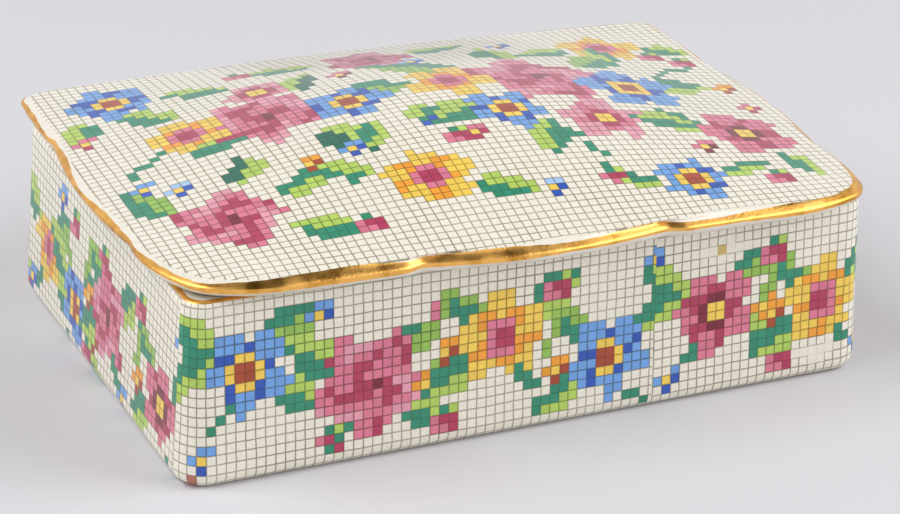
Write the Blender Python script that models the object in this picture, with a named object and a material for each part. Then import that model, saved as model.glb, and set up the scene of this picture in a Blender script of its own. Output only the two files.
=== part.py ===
"""A lidded candy box in glazed earthenware.

The box is a rounded rectangle whose walls lean in a little on their way up. Its lid is a low
cushion dome with a wavy edge, and a flange under it keeps the lid in the box's mouth. The lid
lifts off. It lies a little turned, as far as its play lets it.

Everything is in metres. +X runs along the front, +Y away from the viewer and +Z up. The origin is
on the ground under the middle of the box.
"""
import math
from dataclasses import dataclass

import bmesh
import bpy

# The box, over its outside
BOX_LENGTH = 0.1684
BOX_WIDTH = 0.1145
BOX_HEIGHT = 0.0430
WALL_LEAN = math.radians(2.94)
BOX_CORNER_RADIUS = 0.0072
FOOT_ROUNDING = 0.0035
LIP_ROUNDING = 0.0016

# The box, inside and under
WALL_THICKNESS = 0.0045
FLOOR_THICKNESS = 0.0050
INSIDE_CORNER_RADIUS = 0.0060
INSIDE_FILLET = 0.0050
FOOT_RING_WIDTH = 0.0060
FOOT_RECESS = 0.0015
FOOT_RECESS_SLOPE = 0.0012

# The lid over the box, and its rim
LID_OVERHANG_ENDS = 0.0045
LID_OVERHANG_SIDES = 0.0081
RIM_UNDERCUT = 0.0040
RIM_GLAZE_HEIGHT = 0.0020
RIM_GILT_HEIGHT = 0.0008
RIM_FACET_WIDTH = 0.0016
RIM_FACET_RISE = 0.0011
SHOULDER_WIDTH = 0.0010
CROWN_RISE = 0.0110
LID_SHELL = 0.0042

# The waves of the lid's edge: how far it has stepped in at the notch beside the middle lobe, and
# at the side lobe beyond
LONG_NOTCH_DEPTH = 0.0034
LONG_LOBE_STEP = 0.0021
SHORT_NOTCH_DEPTH = 0.0025
SHORT_LOBE_STEP = 0.0020

# Places along the edge, from a side's middle
NOTCH_PLACE = 0.0286
SIDE_LOBE_START = 0.0336

# How the middle lobe falls back to its notch: a higher power keeps it straight for longer
LOBE_POWER = 1.8

# The flange under the lid, and how the two pieces fit
FLANGE_DEPTH = 0.0040
FLANGE_THICKNESS = 0.0032
FLANGE_ROUNDING = 0.0008
FLANGE_PLAY = 0.0023
CEILING_FILLET = 0.0020
TOUCH_GAP = 0.0003

# The dome's curve along each direction: a higher power falls away sooner from the crown
CROWN_POWER_X = 1.30
CROWN_POWER_Y = 1.08

# How much of the stretch between a side lobe's start and the corner is straight
LONG_SHOULDER_SHARE = 0.48
SHORT_SHOULDER_SHARE = 0.06

# How wavy the lip's lower line and the dome's edge are against the rim's widest line
LIP_WAVINESS = 0.6
DOME_WAVINESS = 0.15

# How finely the round parts are divided
CORNER_STEPS = 6
ROUNDING_STEPS = 3
LOBE_STEPS = 5
NOTCH_STEPS = 2
CORNER_SIDE_STEPS = 3
DOME_STEPS = 7
CEILING_STEPS = 5

GLAZE_COLOUR = (0.87, 0.83, 0.72, 1.0)
LID_GLAZE_COLOUR = (0.89, 0.86, 0.76, 1.0)
GLAZE_ROUGHNESS = 0.15


@dataclass(frozen=True)
class Corner:
    """A corner of the lid's edge, which isn't quite the same at each of the four.

    The drops say how far the long and the short side have bent away where they would meet, and
    the cut how far from there the corner's own curve starts.
    """

    long_drop: float
    short_drop: float
    cut: float


BACK_CORNER = Corner(long_drop=0.0025, short_drop=0.0008, cut=0.0042)
FRONT_LEFT_CORNER = Corner(long_drop=0.0120, short_drop=0.0128, cut=0.0030)
FRONT_RIGHT_CORNER = Corner(long_drop=0.0085, short_drop=0.0057, cut=0.0050)


@dataclass(frozen=True)
class WavySide:
    """One side of the lid's edge, as measured from its middle to the corner, in metres."""

    reach: float
    half_length: float
    notch_depth: float
    lobe_step: float
    shoulder: float
    corner_drop: float

    def sway(self, along):
        """How far the edge lies outside the middle lobe's line; it is never above zero."""
        if along <= NOTCH_PLACE:
            return -self.notch_depth * (along / NOTCH_PLACE) ** LOBE_POWER
        if along <= SIDE_LOBE_START:
            climb = ease((along - NOTCH_PLACE) / (SIDE_LOBE_START - NOTCH_PLACE))
            return -self.notch_depth + (self.notch_depth - self.lobe_step) * climb
        if along <= self.shoulder:
            return -self.lobe_step
        fall = (along - self.shoulder) / (self.half_length - self.shoulder)
        return -self.lobe_step - self.corner_drop * fall ** 2

    def calm_sway(self, along):
        """The edge without its notch: one gentle line over the lobes."""
        if along >= self.shoulder:
            return self.sway(along)
        return -self.lobe_step * ease(along / self.shoulder)

    def slope_at(self, along):
        """Slope of the edge on its way to the corner."""
        return -2.0 * self.corner_drop * (along - self.shoulder) / (self.half_length - self.shoulder) ** 2

    def stations(self, end):
        """Places along the side where the edge gets a point, from its middle to the corner."""
        places = [0.0] + spread(0.0, NOTCH_PLACE, LOBE_STEPS)
        places += spread(NOTCH_PLACE, SIDE_LOBE_START, NOTCH_STEPS)
        places += [0.5 * (SIDE_LOBE_START + self.shoulder), self.shoulder]
        places += spread(self.shoulder, end, CORNER_SIDE_STEPS)
        return places


@dataclass(frozen=True)
class EdgeQuarter:
    """A quarter of the lid's edge, from the middle of a short side to the middle of a long one."""

    short: WavySide
    long: WavySide
    cut: float

    def sharp_corner(self):
        """Where the two sides would meet if the corner weren't rounded."""
        x, y = self.long.half_length, self.short.half_length
        for _ in range(12):
            y = self.long.reach + self.long.sway(x)
            x = self.short.reach + self.short.sway(y)
        return x, y

    def ends(self):
        """Where the corner's curve starts on the long side and on the short side."""
        corner_x, corner_y = self.sharp_corner()
        return corner_x - self.cut, corner_y - self.cut

    def corner_control(self, long_end, short_end):
        """Where the tangents of the two sides meet beyond the corner's curve."""
        x1 = self.short.reach + self.short.sway(short_end)
        y1 = self.long.reach + self.long.sway(long_end)
        slope_y = self.long.slope_at(long_end)
        slope_x = self.short.slope_at(short_end)
        x = (x1 + slope_x * (y1 - slope_y * long_end - short_end)) / (1.0 - slope_x * slope_y)
        return x, y1 + slope_y * (x - long_end)

    def points(self, waviness=1.0):
        """The quarter's points; waviness 0 leaves its notches out."""
        long_end, short_end = self.ends()
        short_points = []
        for y in self.short.stations(short_end):
            calm = self.short.calm_sway(y)
            short_points.append((self.short.reach + calm + (self.short.sway(y) - calm) * waviness, y))
        long_points = []
        for x in self.long.stations(long_end):
            calm = self.long.calm_sway(x)
            long_points.append((x, self.long.reach + calm + (self.long.sway(x) - calm) * waviness))
        corner = bend(short_points[-1], self.corner_control(long_end, short_end), long_points[-1])
        return short_points + corner + list(reversed(long_points))

    def flange_points(self, half_x, half_y, radius):
        """A quarter of a rounded rectangle with as many points as the wavy edge has."""
        long_end, short_end = self.ends()
        side_y = [y / short_end for y in self.short.stations(short_end)][:-1]
        side_x = [x / long_end for x in self.long.stations(long_end)][:-1]
        return rounded_quarter(half_x, half_y, radius, side_y, side_x)


def bend(start, control, finish):
    """Points between start and finish on a curve that leaves and arrives towards the control."""
    between = []
    for step in range(1, CORNER_STEPS):
        share = step / CORNER_STEPS
        weights = ((1.0 - share) ** 2, 2.0 * share * (1.0 - share), share ** 2)
        points = (start, control, finish)
        between.append(tuple(sum(w * p[axis] for w, p in zip(weights, points)) for axis in (0, 1)))
    return between


def ease(share):
    """Smooth step from 0 to 1, flat at both ends."""
    return 0.5 - 0.5 * math.cos(math.pi * share)


def spread(low, high, steps):
    """Evenly spaced places after low, up to and with high."""
    return [low + (high - low) * step / steps for step in range(1, steps + 1)]


def wall_inset(height):
    """How far the box's outside has come in at a height above the foot."""
    return height * math.tan(WALL_LEAN)


def four_quarters(back, front_left, front_right, height):
    """Closes quarter outlines, each from the X axis to the Y axis, into a whole ring."""
    ring = list(back)
    ring += [(-x, y) for x, y in reversed(back[:-1])]
    ring += [(-x, -y) for x, y in front_left[1:]]
    ring += [(x, -y) for x, y in reversed(front_right[1:-1])]
    return [(x, y, height) for x, y in ring]


def rounded_quarter(half_x, half_y, radius, side_y=(), side_x=()):
    """A quarter of a rounded rectangle.

    side_y and side_x are shares of the straight stretches, where further points go.
    """
    centre_x = half_x - radius
    centre_y = half_y - radius
    quarter = [(half_x, centre_y * share) for share in side_y]
    for step in range(CORNER_STEPS + 1):
        angle = 0.5 * math.pi * step / CORNER_STEPS
        quarter.append((centre_x + radius * math.cos(angle), centre_y + radius * math.sin(angle)))
    quarter += [(centre_x * share, half_y) for share in reversed(side_x)]
    return quarter


def box_ring(half_x, half_y, radius, height):
    """A ring of the box: a rounded rectangle with its corners and the middles of its sides."""
    quarter = rounded_quarter(half_x, half_y, radius, side_y=(0.0,), side_x=(0.0,))
    return four_quarters(quarter, quarter, quarter, height)


def skin(rings, first_cap, last_cap):
    """A closed mesh through rings that have the same number of points.

    first_cap and last_cap are the middle points that close the two ends.
    """
    mesh = bmesh.new()
    loops = [[mesh.verts.new(point) for point in ring] for ring in rings]
    for low, high in zip(loops, loops[1:]):
        for index, vertex in enumerate(low):
            after = (index + 1) % len(low)
            mesh.faces.new((vertex, low[after], high[after], high[index]))
    for loop, middle in ((loops[0], first_cap), (loops[-1], last_cap)):
        tip = mesh.verts.new(middle)
        for index, vertex in enumerate(loop):
            mesh.faces.new((tip, vertex, loop[(index + 1) % len(loop)]))
    bmesh.ops.recalc_face_normals(mesh, faces=mesh.faces)
    return mesh


def glaze(name, colour):
    """A plain glossy glaze."""
    material = bpy.data.materials.new(name)
    material.use_nodes = True
    shader = material.node_tree.nodes["Principled BSDF"]
    shader.inputs["Base Color"].default_value = colour
    shader.inputs["Roughness"].default_value = GLAZE_ROUGHNESS
    shader.inputs["Metallic"].default_value = 0.0
    return material


def add_piece(name, mesh, material, place, turn=0.0):
    """Puts a finished body into the scene under its own name."""
    data = bpy.data.meshes.new(name)
    mesh.to_mesh(data)
    mesh.free()
    data.shade_smooth()
    data.set_sharp_from_angle(angle=math.radians(40.0))
    data.materials.append(material)
    piece = bpy.data.objects.new(name, data)
    piece.location = place
    piece.rotation_euler.z = turn
    bpy.context.scene.collection.objects.link(piece)
    return piece


def mouth_half_sizes():
    """Half sizes of the box's mouth, between its walls at the top."""
    inset = wall_inset(BOX_HEIGHT) + WALL_THICKNESS
    return 0.5 * BOX_LENGTH - inset, 0.5 * BOX_WIDTH - inset


def build_box():
    """The box: foot ring, leaning walls, rounded lip, and a hollow inside with a filleted floor."""
    half_x = 0.5 * BOX_LENGTH
    half_y = 0.5 * BOX_WIDTH

    def outside(inset, height):
        radius = max(BOX_CORNER_RADIUS - inset, 0.2 * BOX_CORNER_RADIUS)
        return box_ring(half_x - inset, half_y - inset, radius, height)

    def inside(inset, height):
        reach = WALL_THICKNESS + inset
        radius = max(INSIDE_CORNER_RADIUS - inset, 0.2 * INSIDE_CORNER_RADIUS)
        return box_ring(half_x - reach, half_y - reach, radius, height)

    foot_inner = FOOT_ROUNDING + FOOT_RING_WIDTH
    rings = [outside(foot_inner + FOOT_RECESS_SLOPE, FOOT_RECESS), outside(foot_inner, 0.0)]

    for step in range(ROUNDING_STEPS + 1):
        angle = 0.5 * math.pi * step / ROUNDING_STEPS
        height = FOOT_ROUNDING * (1.0 - math.cos(angle))
        inset = FOOT_ROUNDING * (1.0 - math.sin(angle)) + wall_inset(height)
        rings.append(outside(inset, height))

    lip_start = BOX_HEIGHT - LIP_ROUNDING
    for step in range(ROUNDING_STEPS + 1):
        angle = 0.5 * math.pi * step / ROUNDING_STEPS
        height = lip_start + LIP_ROUNDING * math.sin(angle)
        rings.append(outside(wall_inset(height) + LIP_ROUNDING * (1.0 - math.cos(angle)), height))
    for step in range(ROUNDING_STEPS + 1):
        angle = 0.5 * math.pi * step / ROUNDING_STEPS
        height = lip_start + LIP_ROUNDING * math.cos(angle)
        rings.append(inside(wall_inset(height) - LIP_ROUNDING * (1.0 - math.sin(angle)), height))

    floor_top = FOOT_RECESS + FLOOR_THICKNESS
    for step in range(ROUNDING_STEPS + 1):
        angle = 0.5 * math.pi * step / ROUNDING_STEPS
        height = floor_top + INSIDE_FILLET * (1.0 - math.sin(angle))
        rings.append(inside(wall_inset(height) + INSIDE_FILLET * (1.0 - math.cos(angle)), height))

    mesh = skin(rings, (0.0, 0.0, FOOT_RECESS), (0.0, 0.0, floor_top))
    return add_piece("box", mesh, glaze("glazed_box", GLAZE_COLOUR), (0.0, 0.0, 0.0))


class LidShape:
    """The lid's measures, worked out from the box that it sits on.

    Heights in here are above the lid's seat, which is the flat underside that rests on the box.
    """

    def __init__(self):
        top_inset = wall_inset(BOX_HEIGHT)
        self.half_x = 0.5 * BOX_LENGTH - top_inset + LID_OVERHANG_ENDS
        self.half_y = 0.5 * BOX_WIDTH - top_inset + LID_OVERHANG_SIDES
        corners = (BACK_CORNER, FRONT_LEFT_CORNER, FRONT_RIGHT_CORNER)
        self.quarters = [self.quarter(corner) for corner in corners]
        mouth_x, mouth_y = mouth_half_sizes()
        self.flange_x = mouth_x - FLANGE_PLAY
        self.flange_y = mouth_y - FLANGE_PLAY
        self.flange_radius = INSIDE_CORNER_RADIUS + FLANGE_PLAY
        self.gilt_height = RIM_GLAZE_HEIGHT + RIM_GILT_HEIGHT
        self.facet_height = self.gilt_height + RIM_FACET_RISE

    def quarter(self, corner):
        """A quarter of the edge with its own corner."""
        long_shoulder = SIDE_LOBE_START + LONG_SHOULDER_SHARE * (self.half_x - SIDE_LOBE_START)
        short_shoulder = SIDE_LOBE_START + SHORT_SHOULDER_SHARE * (self.half_y - SIDE_LOBE_START)
        long = WavySide(self.half_y, self.half_x, LONG_NOTCH_DEPTH, LONG_LOBE_STEP, long_shoulder,
                        corner.long_drop)
        short = WavySide(self.half_x, self.half_y, SHORT_NOTCH_DEPTH, SHORT_LOBE_STEP, short_shoulder,
                         corner.short_drop)
        return EdgeQuarter(short, long, corner.cut)

    def turn(self):
        """The angle that takes up the flange's play along the front and back walls."""
        return (FLANGE_PLAY - TOUCH_GAP) / (self.flange_x - self.flange_radius)

    def dome(self, x, y):
        """Height of the dome over the seat."""
        across_x = math.cos(0.5 * math.pi * min(abs(x) / self.half_x, 1.0))
        across_y = math.cos(0.5 * math.pi * min(abs(y) / self.half_y, 1.0))
        return self.facet_height + CROWN_RISE * across_x ** CROWN_POWER_X * across_y ** CROWN_POWER_Y

    def wavy_ring(self, inset, share, waviness):
        """The edge drawn in from its widest line, and then by a share towards the middle."""
        shrink_x = share * (1.0 - inset / self.half_x)
        shrink_y = share * (1.0 - inset / self.half_y)
        outlines = []
        for quarter in self.quarters:
            outlines.append([(x * shrink_x, y * shrink_y) for x, y in quarter.points(waviness)])
        return four_quarters(*outlines, 0.0)

    def rim_ring(self, inset, height, waviness=1.0):
        """A level ring of the rim."""
        return [(x, y, height) for x, y, _ in self.wavy_ring(inset, 1.0, waviness)]

    def shoulder_ring(self, way):
        """A ring on the shoulder, whose way runs from 0 at the gilt facet to 1 at the dome."""
        inset = RIM_FACET_WIDTH + SHOULDER_WIDTH * way
        climb = math.sin(0.5 * math.pi * way)
        ring = []
        for x, y, _ in self.wavy_ring(inset, 1.0, 1.0 + (DOME_WAVINESS - 1.0) * way):
            ring.append((x, y, self.facet_height + (self.dome(x, y) - self.facet_height) * climb))
        return ring

    def dome_ring(self, share):
        """A ring on the dome. The waves die out with the share, so that the crown is plain."""
        inset = RIM_FACET_WIDTH + SHOULDER_WIDTH
        outline = self.wavy_ring(inset, share, DOME_WAVINESS * share ** 3)
        return [(x, y, self.dome(x, y)) for x, y, _ in outline]

    def flange_ring(self, inset, height):
        """A ring of the flange: a rounded rectangle with as many points as the wavy edge."""
        radius = max(self.flange_radius - inset, 0.2 * self.flange_radius)
        half_x = self.flange_x - inset
        half_y = self.flange_y - inset
        outlines = [quarter.flange_points(half_x, half_y, radius) for quarter in self.quarters]
        return four_quarters(*outlines, height)

    def ceiling_ring(self, share):
        """A ring of the lid's underside, inside the flange."""
        ring = []
        for x, y, _ in self.flange_ring(FLANGE_THICKNESS + CEILING_FILLET, 0.0):
            ring.append((x * share, y * share, self.dome(x * share, y * share) - LID_SHELL))
        return ring


def build_lid():
    """The lid: flange, flat seat, rounded rim with its two gilt faces, shoulder and dome."""
    shape = LidShape()
    rings = []
    for step in range(1, CEILING_STEPS + 1):
        rings.append(shape.ceiling_ring(step / CEILING_STEPS))
    for step in range(1, ROUNDING_STEPS + 1):
        angle = 0.5 * math.pi * step / ROUNDING_STEPS
        inset = FLANGE_THICKNESS + CEILING_FILLET * (1.0 - math.sin(angle))
        ring = shape.flange_ring(inset, 0.0)
        sunk = LID_SHELL + CEILING_FILLET * (1.0 - math.cos(angle))
        rings.append([(x, y, shape.dome(x, y) - sunk) for x, y, _ in ring])
    rings.append(shape.flange_ring(FLANGE_THICKNESS, -FLANGE_DEPTH + FLANGE_ROUNDING))
    rings.append(shape.flange_ring(FLANGE_THICKNESS - FLANGE_ROUNDING, -FLANGE_DEPTH))
    rings.append(shape.flange_ring(FLANGE_ROUNDING, -FLANGE_DEPTH))
    rings.append(shape.flange_ring(0.0, -FLANGE_DEPTH + FLANGE_ROUNDING))
    rings.append(shape.flange_ring(0.0, 0.0))

    for step in range(ROUNDING_STEPS + 1):
        angle = 0.5 * math.pi * step / ROUNDING_STEPS
        height = RIM_GLAZE_HEIGHT * (1.0 - math.cos(angle))
        waviness = LIP_WAVINESS + (1.0 - LIP_WAVINESS) * step / ROUNDING_STEPS
        rings.append(shape.rim_ring(RIM_UNDERCUT * (1.0 - math.sin(angle)), height, waviness))
    rings.append(shape.rim_ring(0.0, shape.gilt_height))
    rings.append(shape.rim_ring(RIM_FACET_WIDTH, shape.facet_height))

    for step in range(1, ROUNDING_STEPS + 1):
        rings.append(shape.shoulder_ring(step / ROUNDING_STEPS))
    for step in range(1, DOME_STEPS):
        rings.append(shape.dome_ring(1.0 - step / DOME_STEPS))

    ceiling_middle = (0.0, 0.0, shape.dome(0.0, 0.0) - LID_SHELL)
    crown = (0.0, 0.0, shape.dome(0.0, 0.0))
    mesh = skin(rings, ceiling_middle, crown)
    place = (0.0, 0.0, BOX_HEIGHT + TOUCH_GAP)
    return add_piece("lid", mesh, glaze("glazed_lid", LID_GLAZE_COLOUR), place, -shape.turn())


def main():
    for old in list(bpy.data.objects):
        bpy.data.objects.remove(old, do_unlink=True)
    build_box()
    build_lid()


main()
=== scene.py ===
"""A lidded candy box in printed, glazed earthenware with a gilt rim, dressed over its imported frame.

Two printed pieces stand for the two solids: the box, whose wall carries transfers printed like
canvas work, and the lid that rests on it. Each print is laid flat, cut along its own cells, given
its colours cell by cell, and then laid round the wall or over the dome, as the real transfers are.

Everything is in metres in the frame's own axes: +X along the front, +Y away from the viewer, +Z up.
"""
import logging
import math
import random
from collections.abc import Callable
from dataclasses import dataclass, field
from enum import Enum

import bmesh
import bpy
from mathutils import Euler, Matrix, Vector, noise


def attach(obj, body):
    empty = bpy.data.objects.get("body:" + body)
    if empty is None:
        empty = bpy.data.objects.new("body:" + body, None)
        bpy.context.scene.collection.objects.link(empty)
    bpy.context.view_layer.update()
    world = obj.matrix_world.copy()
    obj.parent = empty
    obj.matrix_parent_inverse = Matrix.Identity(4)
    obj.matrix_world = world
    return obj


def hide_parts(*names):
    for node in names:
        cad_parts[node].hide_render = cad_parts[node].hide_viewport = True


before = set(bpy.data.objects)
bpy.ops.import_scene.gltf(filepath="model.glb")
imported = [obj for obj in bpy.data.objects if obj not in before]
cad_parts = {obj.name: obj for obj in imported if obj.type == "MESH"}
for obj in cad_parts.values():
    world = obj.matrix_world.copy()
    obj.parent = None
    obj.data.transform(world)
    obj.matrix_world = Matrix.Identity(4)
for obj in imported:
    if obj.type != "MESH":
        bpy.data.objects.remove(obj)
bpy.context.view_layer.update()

MM = 0.001
LOG = logging.getLogger("candy_box")
Point = tuple[float, float]


class Tint(Enum):
    """The enamels of the print, in sRGB hex, as they look through the glaze."""

    CREAM = "EFE9DA"
    ROSE = "DB7892"
    PINK = "E59CAE"
    CRIMSON = "B23A5C"
    MAROON = "7C2438"
    COBALT = "2C56B4"
    SKY = "6FA2E2"
    PALE_SKY = "A6C6EE"
    YELLOW = "F3CD55"
    ORANGE = "F2A032"
    RUST = "A8482C"
    TEAL = "2F8C6E"
    PINE = "1D6B57"
    LIME = "B3D161"
    MOSS = "93BE55"
    STAIN = "CDB26A"
    CHIP = "B9705F"


DEEP_TINTS = {Tint.CRIMSON, Tint.MAROON, Tint.COBALT, Tint.TEAL, Tint.PINE, Tint.RUST}


def linear(hex_colour: str) -> tuple[float, float, float, float]:
    """Turns an sRGB hex colour into linear RGBA.

    Args:
        hex_colour: Six hex digits.

    Returns:
        The colour's four linear channels.
    """
    channels = [int(hex_colour[place:place + 2], 16) / 255.0 for place in (0, 2, 4)]
    red, green, blue = [c / 12.92 if c <= 0.04045 else ((c + 0.055) / 1.055) ** 2.4 for c in channels]
    return red, green, blue, 1.0


def ease(share: float) -> float:
    """Smooth step from 0 to 1, flat at both ends."""
    return 0.5 - 0.5 * math.cos(math.pi * min(max(share, 0.0), 1.0))


def add_node(tree: bpy.types.NodeTree, kind: str, settings: dict | None = None,
             links: dict | None = None) -> bpy.types.Node:
    """Adds a shader node with its settings and links.

    Args:
        tree: The node tree that gets the node.
        kind: The node's type.
        settings: Attributes by name, or input values by their socket name or number.
        links: Output sockets by the name or number of the input that each goes to.

    Returns:
        The new node.
    """
    node = tree.nodes.new(kind)
    for name, value in (settings or {}).items():
        if isinstance(name, str) and hasattr(node, name):
            setattr(node, name, value)
        else:
            node.inputs[name].default_value = value
    for name, source in (links or {}).items():
        tree.links.new(source, node.inputs[name])
    return node


def new_material(name: str) -> tuple[bpy.types.Material, bpy.types.NodeTree, bpy.types.Node]:
    """Starts a material with a Principled shader.

    Args:
        name: The material's name.

    Returns:
        The material, its node tree and its shader node.
    """
    material = bpy.data.materials.new(name)
    material.use_nodes = True
    tree = material.node_tree
    return material, tree, tree.nodes["Principled BSDF"]


@dataclass(frozen=True)
class GlazedPrint:
    """Transfer print under a clear lead glaze, fired on cream earthenware.

    The enamels sit under the glaze, so that the colour is soft and even and the shine lies over it
    as one skin. The canvas lines are thin olive brown, a quarter of a millimetre wide, a little
    uneven in width and in strength, and they sink into the deep colours.
    """

    name: str = "glazed_transfer_print"
    line_colour: str = "7E7650"
    line_half_width: float = 0.058
    line_softness: float = 0.030
    line_strength: float = 0.80
    roughness: float = 0.16
    ior: float = 1.52

    def build(self) -> bpy.types.Material:
        """Makes the material."""
        material, tree, shader = new_material(self.name)
        enamel = add_node(tree, "ShaderNodeAttribute", {"attribute_name": "enamel"})
        ink = add_node(tree, "ShaderNodeAttribute", {"attribute_name": "ink"})
        stitch = add_node(tree, "ShaderNodeUVMap", {"uv_map": "stitch"})
        place = add_node(tree, "ShaderNodeTexCoord")

        # The print's small drift against its colour blocks, over a few cells
        drift = add_node(tree, "ShaderNodeTexNoise", {"Scale": 0.35, "Detail": 1.0},
                         {"Vector": stitch.outputs["UV"]})
        centred = add_node(tree, "ShaderNodeVectorMath", {"operation": "SUBTRACT", 1: (0.5, 0.5, 0.5)},
                           {0: drift.outputs["Color"]})
        small = add_node(tree, "ShaderNodeVectorMath", {"operation": "SCALE", "Scale": 0.16},
                         {0: centred.outputs[0]})
        moved = add_node(tree, "ShaderNodeVectorMath", {"operation": "ADD"},
                         {0: stitch.outputs["UV"], 1: small.outputs[0]})
        axes = add_node(tree, "ShaderNodeSeparateXYZ", None, {0: moved.outputs[0]})

        uneven = add_node(tree, "ShaderNodeTexNoise", {"Scale": 1.7, "Detail": 2.0},
                          {"Vector": stitch.outputs["UV"]})
        narrow = add_node(tree, "ShaderNodeMath", {"operation": "MULTIPLY_ADD", 1: 0.05,
                                                   2: self.line_half_width - 0.025},
                          {0: uneven.outputs["Fac"]})
        wide = add_node(tree, "ShaderNodeMath", {"operation": "ADD", 1: self.line_softness},
                        {0: narrow.outputs[0]})
        lines = []
        for axis in ("X", "Y"):
            away = add_node(tree, "ShaderNodeMath", {"operation": "PINGPONG", 1: 0.5},
                            {0: axes.outputs[axis]})
            lines.append(add_node(tree, "ShaderNodeMapRange", {"To Min": 1.0, "To Max": 0.0},
                                  {"Value": away.outputs[0], "From Min": narrow.outputs[0],
                                   "From Max": wide.outputs[0]}))
        both = add_node(tree, "ShaderNodeMath", {"operation": "MAXIMUM"},
                        {0: lines[0].outputs[0], 1: lines[1].outputs[0]})
        inked = add_node(tree, "ShaderNodeMath", {"operation": "MULTIPLY"},
                         {0: both.outputs[0], 1: ink.outputs["Fac"]})
        patchy = add_node(tree, "ShaderNodeTexNoise", {"Scale": 0.12, "Detail": 3.0},
                          {"Vector": stitch.outputs["UV"]})
        strong = add_node(tree, "ShaderNodeMapRange",
                          {"From Min": 0.3, "From Max": 0.6, "To Min": self.line_strength - 0.22,
                           "To Max": self.line_strength},
                          {"Value": patchy.outputs["Fac"]})
        amount = add_node(tree, "ShaderNodeMath", {"operation": "MULTIPLY"},
                          {0: inked.outputs[0], 1: strong.outputs[0]})

        # Screened enamel: a fine mottle a third of a millimetre across
        mottle = add_node(tree, "ShaderNodeTexNoise", {"Scale": 2600.0, "Detail": 2.0},
                          {"Vector": place.outputs["Object"]})
        shade = add_node(tree, "ShaderNodeMapRange", {"From Min": 0.35, "From Max": 0.65,
                                                      "To Min": 0.94, "To Max": 1.05},
                         {"Value": mottle.outputs["Fac"]})
        toned = add_node(tree, "ShaderNodeVectorMath", {"operation": "SCALE"},
                         {0: enamel.outputs["Color"], "Scale": shade.outputs[0]})
        colour = add_node(tree, "ShaderNodeMix", {"data_type": "RGBA", "blend_type": "MULTIPLY"},
                          {"Factor": amount.outputs[0]})
        tree.links.new(toned.outputs[0], colour.inputs[6])
        colour.inputs[7].default_value = linear(self.line_colour)
        tree.links.new(colour.outputs[2], shader.inputs["Base Color"])

        # A glaze pulls into soft shallow waves as it cools, about 6 mm apart
        waves = add_node(tree, "ShaderNodeTexNoise", {"Scale": 160.0, "Detail": 1.0},
                         {"Vector": place.outputs["Object"]})
        bump = add_node(tree, "ShaderNodeBump", {"Strength": 0.10, "Distance": 0.0006},
                        {"Height": waves.outputs["Fac"]})
        tree.links.new(bump.outputs[0], shader.inputs["Normal"])
        shader.inputs["Roughness"].default_value = self.roughness
        shader.inputs["IOR"].default_value = self.ior
        return material


@dataclass(frozen=True)
class PlainGlaze:
    """Clear glaze over bare cream earthenware, dipped and fired: warm white, even and shiny."""

    name: str = "glazed_cream_earthenware"
    colour: str = "E9E4DA"
    pooled: str = "D9D2C0"
    roughness: float = 0.18
    ior: float = 1.52

    def build(self) -> bpy.types.Material:
        """Makes the material."""
        material, tree, shader = new_material(self.name)
        place = add_node(tree, "ShaderNodeTexCoord")
        pools = add_node(tree, "ShaderNodeTexNoise", {"Scale": 55.0, "Detail": 3.0},
                         {"Vector": place.outputs["Object"]})
        ramp = add_node(tree, "ShaderNodeValToRGB", None, {"Fac": pools.outputs["Fac"]})
        ramp.color_ramp.elements[0].position = 0.35
        ramp.color_ramp.elements[0].color = linear(self.pooled)
        ramp.color_ramp.elements[1].position = 0.62
        ramp.color_ramp.elements[1].color = linear(self.colour)
        tree.links.new(ramp.outputs["Color"], shader.inputs["Base Color"])
        bump = add_node(tree, "ShaderNodeBump", {"Strength": 0.12, "Distance": 0.0006},
                        {"Height": pools.outputs["Fac"]})
        tree.links.new(bump.outputs[0], shader.inputs["Normal"])
        shader.inputs["Roughness"].default_value = self.roughness
        shader.inputs["IOR"].default_value = self.ior
        return material


@dataclass(frozen=True)
class BrushedGilding:
    """Liquid bright gold, brushed on over the glaze and fired to a thin mirror.

    It is a real metal film, so it takes its tone from what it mirrors: orange gold towards the
    pale table, dark bronze towards the dark overhead. The brush leaves faint ridges and thin
    places, half a millimetre to a millimetre across, which glitter along the edge.
    """

    name: str = "fired_bright_gold"
    colour: str = "FFC368"
    thin: str = "D6993F"
    roughness: float = 0.24

    def build(self) -> bpy.types.Material:
        """Makes the material."""
        material, tree, shader = new_material(self.name)
        place = add_node(tree, "ShaderNodeTexCoord")
        grain = add_node(tree, "ShaderNodeTexNoise", {"Scale": 1500.0, "Detail": 3.0},
                         {"Vector": place.outputs["Object"]})
        cloudy = add_node(tree, "ShaderNodeTexNoise", {"Scale": 210.0, "Detail": 3.0},
                          {"Vector": place.outputs["Object"]})
        ramp = add_node(tree, "ShaderNodeValToRGB", None, {"Fac": cloudy.outputs["Fac"]})
        ramp.color_ramp.elements[0].position = 0.32
        ramp.color_ramp.elements[0].color = linear(self.thin)
        ramp.color_ramp.elements[1].position = 0.56
        ramp.color_ramp.elements[1].color = linear(self.colour)
        tree.links.new(ramp.outputs["Color"], shader.inputs["Base Color"])
        rough = add_node(tree, "ShaderNodeMapRange", {"From Min": 0.3, "From Max": 0.7,
                                                      "To Min": self.roughness,
                                                      "To Max": self.roughness + 0.16},
                         {"Value": cloudy.outputs["Fac"]})
        tree.links.new(rough.outputs[0], shader.inputs["Roughness"])
        bump = add_node(tree, "ShaderNodeBump", {"Strength": 0.16, "Distance": 0.0003},
                        {"Height": grain.outputs["Fac"]})
        tree.links.new(bump.outputs[0], shader.inputs["Normal"])
        shader.inputs["Metallic"].default_value = 1.0
        return material


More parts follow.
